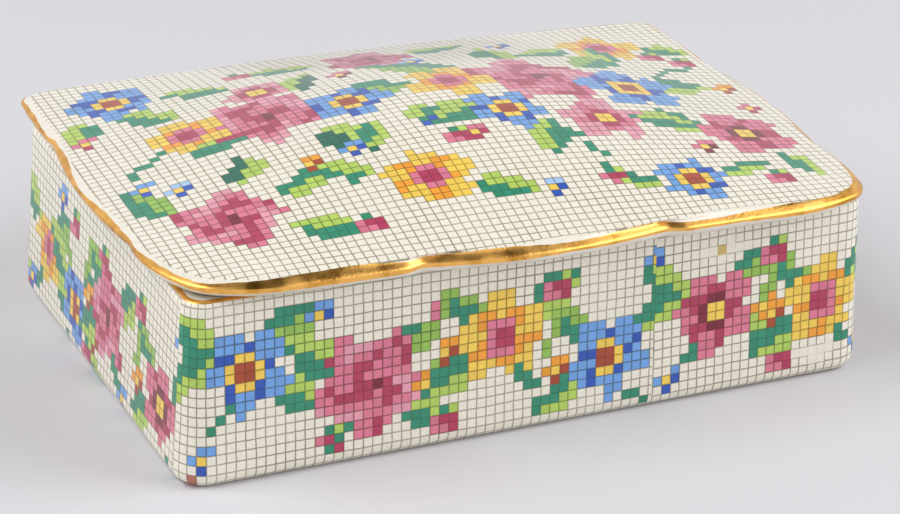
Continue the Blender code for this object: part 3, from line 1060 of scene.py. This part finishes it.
@dataclass(frozen=True)
class EdgeQuarter:
    """A quarter of the lid's edge, from the middle of a short side to the middle of a long one."""

    short: WavySide
    long: WavySide
    cut: float
    step: float = 1.0 * MM
    corner_steps: int = 12

    def ends(self) -> Point:
        """Where the corner's curve starts on the long side and on the short side."""
        x, y = self.long.half_length, self.short.half_length
        for _ in range(12):
            y = self.long.reach + self.long.sway(x)
            x = self.short.reach + self.short.sway(y)
        return x - self.cut, y - self.cut

    def stations(self, end: float) -> list[float]:
        """Evenly spaced places along a side, about a step apart, up to and with its end."""
        count = round(end / self.step)
        return [end * k / count for k in range(count + 1)]

    def points(self, waviness: float) -> list[Point]:
        """The quarter's points.

        Args:
            waviness: 1 for the edge itself, 0 for a line without its notches.

        Returns:
            The points, from the middle of the short side round to the middle of the long one.
        """
        long_end, short_end = self.ends()
        side = [(self.short.waved(y, waviness), y) for y in self.stations(short_end)]
        front = [(x, self.long.waved(x, waviness)) for x in self.stations(long_end)]
        slope_y, slope_x = self.long.slope_at(long_end), self.short.slope_at(short_end)
        (x1, y0), (x0, y1) = side[-1], front[-1]
        control_x = (x1 + slope_x * (y1 - slope_y * x0 - y0)) / (1.0 - slope_x * slope_y)
        control = Vector((control_x, y1 + slope_y * (control_x - x0)))
        corner = []
        for step in range(1, self.corner_steps):
            share = step / self.corner_steps
            spot = Vector(side[-1]).lerp(control, share).lerp(control.lerp(Vector(front[-1]), share), share)
            corner.append((spot.x, spot.y))
        return side + corner + front[::-1]


@dataclass(frozen=True)
class Lid:
    """The lid: a low printed cushion dome with a gilt wavy rim, on a flange inside the box."""

    body: BoxBody = field(default_factory=BoxBody)
    overhang_ends: float = 4.5 * MM
    overhang_sides: float = 8.1 * MM
    undercut: float = 4.0 * MM
    glaze_height: float = 2.0 * MM
    gilt_height: float = 0.8 * MM
    facet_width: float = 1.6 * MM
    facet_rise: float = 1.1 * MM
    shoulder_width: float = 1.0 * MM
    crown_rise: float = 11.0 * MM
    crown_power_x: float = 1.30
    crown_power_y: float = 1.08
    shell: float = 4.2 * MM
    flange_depth: float = 4.0 * MM
    flange_thickness: float = 3.2 * MM
    flange_rounding: float = 0.8 * MM
    flange_play: float = 2.3 * MM
    ceiling_fillet: float = 2.0 * MM
    touch_gap: float = 0.3 * MM
    lip_waviness: float = 0.6
    dome_waviness: float = 0.15
    cell: float = 2.20 * MM
    print_turn: float = math.radians(-0.7)
    dome_steps: int = 9
    corners: tuple[Corner, ...] = (
        Corner(2.5 * MM, 0.8 * MM, 4.2 * MM),
        Corner(12.0 * MM, 12.8 * MM, 3.0 * MM),
        Corner(8.5 * MM, 5.7 * MM, 5.0 * MM),
    )

    @property
    def half_x(self) -> float:
        """Half the lid's length."""
        return 0.5 * self.body.length - self.body.wall_inset(self.body.height) + self.overhang_ends

    @property
    def half_y(self) -> float:
        """Half the lid's width."""
        return 0.5 * self.body.width - self.body.wall_inset(self.body.height) + self.overhang_sides

    @property
    def ridge_height(self) -> float:
        """Height of the rim's ridge over the seat."""
        return self.glaze_height + self.gilt_height

    @property
    def facet_top(self) -> float:
        """Height of the gilt facet's upper edge over the seat."""
        return self.ridge_height + self.facet_rise

    def flange_half_sizes(self) -> tuple[float, float, float]:
        """Half length, half width and corner radius of the flange."""
        inset = self.body.wall_inset(self.body.height) + self.body.wall + self.flange_play
        return (0.5 * self.body.length - inset, 0.5 * self.body.width - inset,
                self.body.inside_radius + self.flange_play)

    def turn(self) -> float:
        """The angle that the lid lies turned by."""
        half_x, _, radius = self.flange_half_sizes()
        return -(self.flange_play - self.touch_gap) / (half_x - radius)

    def dome(self, x: float, y: float) -> float:
        """Height of the dome over the seat."""
        across_x = math.cos(0.5 * math.pi * min(abs(x) / self.half_x, 1.0))
        across_y = math.cos(0.5 * math.pi * min(abs(y) / self.half_y, 1.0))
        share = across_x ** self.crown_power_x * across_y ** self.crown_power_y
        return self.facet_top + self.crown_rise * share

    def quarters(self) -> list[EdgeQuarter]:
        """The edge's quarters: back, front left and front right."""
        found = []
        for corner in self.corners:
            long = WavySide(self.half_y, self.half_x, 3.4 * MM, 2.1 * MM,
                            33.6 * MM + 0.48 * (self.half_x - 33.6 * MM), corner.long_drop)
            short = WavySide(self.half_x, self.half_y, 2.5 * MM, 2.0 * MM,
                             33.6 * MM + 0.06 * (self.half_y - 33.6 * MM), corner.short_drop)
            found.append(EdgeQuarter(short, long, corner.cut))
        return found

    def outline(self, inset: float, share: float, waviness: float) -> list[Point]:
        """The whole edge drawn in, as a closed ring that starts at the middle of the right end.

        Args:
            inset: How far it is drawn in from its widest line.
            share: How far it is then shrunk towards the middle.
            waviness: How much of its waves is left.

        Returns:
            The ring's points, seen from above.
        """
        shrink_x = share * (1.0 - inset / self.half_x)
        shrink_y = share * (1.0 - inset / self.half_y)
        back, left, right = [q.points(waviness) for q in self.quarters()]
        ring = list(back)
        ring += [(-x, y) for x, y in back[-2::-1]]
        ring += [(-x, -y) for x, y in left[1:]]
        ring += [(x, -y) for x, y in right[-2:0:-1]]
        return [(x * shrink_x, y * shrink_y) for x, y in ring]

    def flange_ring(self, inset: float) -> list[Point]:
        """A ring of the flange, with a point for each point of the wavy edge.

        Args:
            inset: How far it is drawn in from the flange's outside.

        Returns:
            The ring's points, seen from above.
        """
        half_x, half_y, full = self.flange_half_sizes()
        radius = max(full - inset, 0.2 * full)
        centre_x, centre_y = half_x - inset - radius, half_y - inset - radius
        quarters = []
        for quarter in self.quarters():
            long_end, short_end = quarter.ends()
            points = [(half_x - inset, centre_y * y / short_end) for y in quarter.stations(short_end)]
            for step in range(1, quarter.corner_steps):
                angle = 0.5 * math.pi * step / quarter.corner_steps
                points.append((centre_x + radius * math.cos(angle), centre_y + radius * math.sin(angle)))
            stations = quarter.stations(long_end)[::-1]
            quarters.append(points + [(centre_x * x / long_end, half_y - inset) for x in stations])
        back, left, right = quarters
        ring = list(back)
        ring += [(-x, y) for x, y in back[-2::-1]]
        ring += [(-x, -y) for x, y in left[1:]]
        ring += [(x, -y) for x, y in right[-2:0:-1]]
        return ring

    def rim_point(self, wave: Point, calm: Point, way: float) -> tuple[float, float, float]:
        """A point of the rim's profile.

        Args:
            wave: The edge's own point at this station.
            calm: The same without the notches.
            way: 0 at the seat, 1 at the widest line, 2 at the ridge, 3 at the gilt facet's top and
                4 where the dome starts.

        Returns:
            The point, over the seat.
        """
        waviness, inset, height = 1.0, 0.0, 0.0
        if way <= 1.0:
            angle = 0.5 * math.pi * way
            inset = self.undercut * (1.0 - math.sin(angle))
            height = self.glaze_height * (1.0 - math.cos(angle))
            waviness = self.lip_waviness + (1.0 - self.lip_waviness) * way
        elif way <= 2.0:
            height = self.glaze_height + self.gilt_height * (way - 1.0)
        elif way <= 3.0:
            inset = self.facet_width * (way - 2.0)
            height = self.ridge_height + self.facet_rise * (way - 2.0)
        else:
            inset = self.facet_width + self.shoulder_width * (way - 3.0)
            waviness = 1.0 + (self.dome_waviness - 1.0) * (way - 3.0)
        shrink_x, shrink_y = 1.0 - inset / self.half_x, 1.0 - inset / self.half_y
        x = (calm[0] + (wave[0] - calm[0]) * waviness) * shrink_x
        y = (calm[1] + (wave[1] - calm[1]) * waviness) * shrink_y
        if way > 3.0:
            climb = math.sin(0.5 * math.pi * (way - 3.0))
            height = self.facet_top + (self.dome(x, y) - self.facet_top) * climb
        return x, y, height

    def gilt_edges(self, station: int, count: int, x: float) -> Point:
        """Where the brushed gilding starts and stops, as ways along the profile.

        Args:
            station: Number of the place round the edge.
            count: How many such places there are.
            x: The place along the front; the gilding is narrower round the left end.

        Returns:
            The gilding's lower and upper edge.
        """
        def wander(seed: float, low: float, high: float) -> float:
            angle = 2.0 * math.pi * station / count
            spot = Vector((math.cos(angle), math.sin(angle), seed))
            slow = noise.noise(spot * 5.0)
            quick = noise.noise(spot * 31.0)
            return low + (high - low) * min(max(0.5 + 0.75 * slow + 0.16 * quick, 0.0), 1.0)

        drop = wander(3.7, 0.45 * MM, 1.35 * MM)
        low = 2.0 - drop / self.gilt_height
        if low < 1.0:
            low = 1.0 - (drop - self.gilt_height) / self.undercut
        left_end = ease((-x - self.half_x + 16.0 * MM) / (12.0 * MM))
        extra = wander(9.2, -0.5 * MM, 1.0 * MM) - 1.25 * MM * left_end
        facet = math.hypot(self.facet_width, self.facet_rise)
        return low, 3.0 + extra / (facet if extra < 0.0 else 1.2 * self.shoulder_width)

    def build(self, materials: list[bpy.types.Material]) -> bpy.types.Object:
        """Makes the lid's mesh and dresses it.

        Args:
            materials: The materials, in the order of Part.

        Returns:
            The finished piece.
        """
        mesh = bmesh.new()
        station = mesh.verts.layers.int.new("station")
        rise = mesh.verts.layers.float.new("rise")
        share = mesh.verts.layers.float.new("share")
        waves, calms = self.outline(0.0, 1.0, 1.0), self.outline(0.0, 1.0, 0.0)
        count = len(waves)
        edges = [self.gilt_edges(k, count, waves[k][0]) for k in range(count)]
        start = [mesh.verts.new(self.rim_point(waves[k], calms[k], 0.0)) for k in range(count)]
        for k, vertex in enumerate(start):
            vertex[station] = k
            vertex[share] = 1.0
        seat = [mesh.edges.new((vertex, start[k - 1])) for k, vertex in enumerate(start)]
        self.make_underside(mesh, seat, station)
        ring = seat

        def rim_ring(ways: Callable[[Point], float], part: Part, ridge: bool = False) -> None:
            nonlocal ring

            def move(vertex: bmesh.types.BMVert) -> None:
                k = vertex[station]
                way = ways(edges[k])
                x, y, z = self.rim_point(waves[k], calms[k], way)
                vertex.co = (x * 0.9992, y * 0.9992, z - 0.05 * MM) if ridge else (x, y, z)
                vertex[rise] = min(max(way - 3.0, 0.0), 1.0)
                vertex[share] = 1.0
            ring = grow(mesh, ring, move, part)

        for step in range(1, 6):
            rim_ring(lambda e, s=step: e[0] * s / 5, Part.GLAZE)
        for step in range(1, 4):
            rim_ring(lambda e, s=step: e[0] + (1.86 - e[0]) * s / 3, Part.GILT)
        rim_ring(lambda e: 2.0, Part.GILT, ridge=True)
        rim_ring(lambda e: 2.14, Part.GILT)
        for step in range(1, 5):
            rim_ring(lambda e, s=step: 2.14 + (e[1] - 2.14) * s / 4, Part.GILT)
        for step in range(1, 8):
            rim_ring(lambda e, s=step: e[1] + (4.0 - e[1]) * s / 7, Part.PRINT)

        inset = self.facet_width + self.shoulder_width
        for step in range(1, self.dome_steps):
            left = 1.0 - step / self.dome_steps
            outline = self.outline(inset, left, self.dome_waviness * left ** 3)

            def move(vertex: bmesh.types.BMVert, left: float = left, outline: list[Point] = outline) -> None:
                x, y = outline[vertex[station]]
                vertex.co = (x, y, self.dome(x, y))
                vertex[rise] = 1.0
                vertex[share] = left
            ring = grow(mesh, ring, move, Part.PRINT)
        close(mesh, ring, Vector((0.0, 0.0, self.dome(0.0, 0.0))), Part.PRINT)
        for vertex in mesh.verts:
            if vertex.co.xy.length < 1e-6 and vertex.co.z > self.facet_top:
                vertex[rise] = 1.0
                vertex[share] = 0.0
        self.print_top(mesh, rise, share)
        lay = Matrix.Translation((0.0, 0.0, self.body.height + self.touch_gap))
        bmesh.ops.transform(mesh, matrix=lay @ Matrix.Rotation(self.turn(), 4, "Z"), verts=mesh.verts)
        lid = finish_piece("printed_lid", mesh, materials)
        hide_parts("lid")
        return lid

    def print_top(self, mesh: bmesh.types.BMesh, rise: bmesh.types.BMLayerItem,
                  share: bmesh.types.BMLayerItem) -> None:
        """Cuts and dyes the top by its chart, and lets the print wander as it follows the dome."""
        sheet = Sheet(0.0, self.print_turn, 0.3, 0.2)
        top = [f for f in mesh.faces if f.material_index == Part.PRINT.value]
        cut_along_cells(mesh, top, sheet, self.cell)
        dyer = Dyer(mesh, lid_chart(), 900)
        for face in mesh.faces:
            printed = face.material_index == Part.PRINT.value
            middle = face.calc_center_median()
            climbed = sum(v[rise] for v in face.verts) / len(face.verts)
            left = sum(v[share] for v in face.verts) / len(face.verts)
            climbed = climbed * self.shoulder_width + (1.0 - left) * self.half_y
            inked = printed and climbed > self.bare_margin(middle.x, middle.y)
            places = [sheet.cell_place(l.vert.co.x, l.vert.co.y, self.cell) for l in face.loops]
            dyer.dye(face, places, inked)
        for vertex in mesh.verts:
            if vertex[rise] < 0.9999:
                continue
            loose = 0.30 * MM * (1.0 - vertex[share] ** 4)
            spot = Vector((vertex.co.x, vertex.co.y, 0.0)) * 34.0
            vertex.co.x += loose * noise.noise(spot)
            vertex.co.y += loose * noise.noise(spot + Vector((0.0, 0.0, 7.0)))
            vertex.co.z = self.dome(vertex.co.x, vertex.co.y)

    def bare_margin(self, x: float, y: float) -> float:
        """How far inside the gilding the print starts, at a place of the edge."""
        if y > 0.0:
            return 0.2 * MM
        margin = 0.1 * MM
        for middle, half, depth in ((2.0 * MM, 13.0 * MM, 1.5 * MM), (45.0 * MM, 18.0 * MM, 1.7 * MM)):
            margin = max(margin, depth * (1.0 - ((x - middle) / half) ** 2))
        return margin

    def make_underside(self, mesh: bmesh.types.BMesh, seat: list[bmesh.types.BMEdge],
                       station: bmesh.types.BMLayerItem) -> None:
        """Makes the flat seat, the flange and the hollow ceiling, all plainly glazed."""
        rings = [(self.flange_ring(inset), height) for inset, height in (
            (0.0, 0.0), (0.0, -self.flange_depth + self.flange_rounding),
            (0.3 * self.flange_rounding, -self.flange_depth + 0.3 * self.flange_rounding),
            (self.flange_rounding, -self.flange_depth),
            (self.flange_thickness - self.flange_rounding, -self.flange_depth),
            (self.flange_thickness, -self.flange_depth + self.flange_rounding))]
        loops = [[(x, y, height) for x, y in ring] for ring, height in rings]
        for step in range(4, 0, -1):
            angle = 0.5 * math.pi * step / 4
            ring = self.flange_ring(self.flange_thickness + self.ceiling_fillet * (1.0 - math.sin(angle)))
            sunk = self.shell + self.ceiling_fillet * (1.0 - math.cos(angle))
            loops.append([(x, y, self.dome(x, y) - sunk) for x, y in ring])
        base = self.flange_ring(self.flange_thickness + self.ceiling_fillet)
        for step in range(6, 0, -1):
            ring = [(x * step / 6, y * step / 6) for x, y in base]
            loops.append([(x, y, self.dome(x, y) - self.shell) for x, y in ring])
        ring = seat
        for loop in loops:
            def move(vertex: bmesh.types.BMVert, loop: list = loop) -> None:
                vertex.co = loop[vertex[station]]
            ring = grow(mesh, ring, move, Part.GLAZE)
        close(mesh, ring, Vector((0.0, 0.0, self.dome(0.0, 0.0) - self.shell)), Part.GLAZE)


@dataclass(frozen=True)
class SoftLight:
    """One square soft light, which looks at the object."""

    name: str
    place: tuple[float, float, float]
    size: float
    power: float
    colour: str = "FFFFFF"

    def hang(self) -> None:
        """Adds the light to the scene."""
        data = bpy.data.lights.new(self.name, "AREA")
        data.shape = "SQUARE"
        data.size = self.size
        data.energy = self.power
        data.color = linear(self.colour)[:3]
        lamp = bpy.data.objects.new(self.name, data)
        lamp.location = self.place
        aim = Vector((0.0, 0.0, 0.03)) - Vector(self.place)
        lamp.rotation_euler = aim.to_track_quat("-Z", "Y").to_euler()
        bpy.context.scene.collection.objects.link(lamp)


@dataclass(frozen=True)
class Studio:
    """A pale table under a pale room with a dark ceiling, two soft lights and the camera."""

    floor_size: float = 6.0
    floor_colour: str = "D9D8DC"
    lens: float = 118.76
    sensor: float = 36.0
    camera_place: tuple[float, float, float] = (-0.27216, -0.57534, 0.30705)
    camera_angles: tuple[float, float, float] = (1.14390, -0.03371, -0.43177)
    lights: tuple[SoftLight, ...] = (
        SoftLight("key_softbox", (-0.80, 0.05, 1.00), 0.9, 9.5),
        SoftLight("fill_softbox", (0.90, -0.50, 0.80), 0.9, 9.0),
    )

    def lay_floor(self) -> None:
        """Lays the table top, which isn't part of the object."""
        mesh = bmesh.new()
        bmesh.ops.create_grid(mesh, x_segments=1, y_segments=1, size=0.5 * self.floor_size)
        data = bpy.data.meshes.new("table_top")
        mesh.to_mesh(data)
        mesh.free()
        material, tree, shader = new_material("matt_pale_paper")
        shader.inputs["Base Color"].default_value = linear(self.floor_colour)
        shader.inputs["Roughness"].default_value = 0.9
        data.materials.append(material)
        floor = bpy.data.objects.new("table_top", data)
        bpy.context.scene.collection.objects.link(floor)

    def paint_room(self) -> None:
        """Makes the room: bright round the table and dark overhead, as gilding shows it."""
        world = bpy.data.worlds.new("pale_room")
        world.use_nodes = True
        tree = world.node_tree
        place = add_node(tree, "ShaderNodeTexCoord")
        axes = add_node(tree, "ShaderNodeSeparateXYZ", None, {0: place.outputs["Generated"]})
        ramp = add_node(tree, "ShaderNodeValToRGB", None, {"Fac": axes.outputs["Z"]})
        ramp.color_ramp.elements[0].position = 0.50
        ramp.color_ramp.elements[0].color = (0.90, 0.90, 0.92, 1.0)
        ramp.color_ramp.elements[1].position = 0.86
        ramp.color_ramp.elements[1].color = (0.04, 0.04, 0.04, 1.0)
        back = tree.nodes["Background"]
        tree.links.new(ramp.outputs["Color"], back.inputs["Color"])
        back.inputs["Strength"].default_value = 0.9
        bpy.context.scene.world = world

    def set_camera(self) -> None:
        """Sets the camera to the photograph's angle, measured from the printed cells."""
        data = bpy.data.cameras.new("camera")
        data.sensor_width = self.sensor
        data.lens = self.lens
        data.clip_start = 0.01
        camera = bpy.data.objects.new("camera", data)
        camera.location = self.camera_place
        camera.rotation_euler = Euler(self.camera_angles, "XYZ")
        bpy.context.scene.collection.objects.link(camera)
        bpy.context.scene.camera = camera

    def build(self) -> None:
        """Sets up the floor, the room, the lights and the camera."""
        self.lay_floor()
        self.paint_room()
        for light in self.lights:
            light.hang()
        self.set_camera()
        bpy.context.scene.view_settings.view_transform = "Standard"


def main() -> None:
    """Builds the pieces in order and reports each."""
    logging.basicConfig(level=logging.INFO, format="%(name)s: %(message)s")
    materials = [GlazedPrint().build(), PlainGlaze().build(), BrushedGilding().build(), Biscuit().build()]
    LOG.info("made %d materials", len(materials))
    body = BoxBody()
    for maker in (body, Lid(body)):
        piece = maker.build(materials)
        LOG.info("%s: %d faces", piece.name, len(piece.data.polygons))
    Studio().build()
    LOG.info("studio ready")


if __name__ == "__main__":
    main()
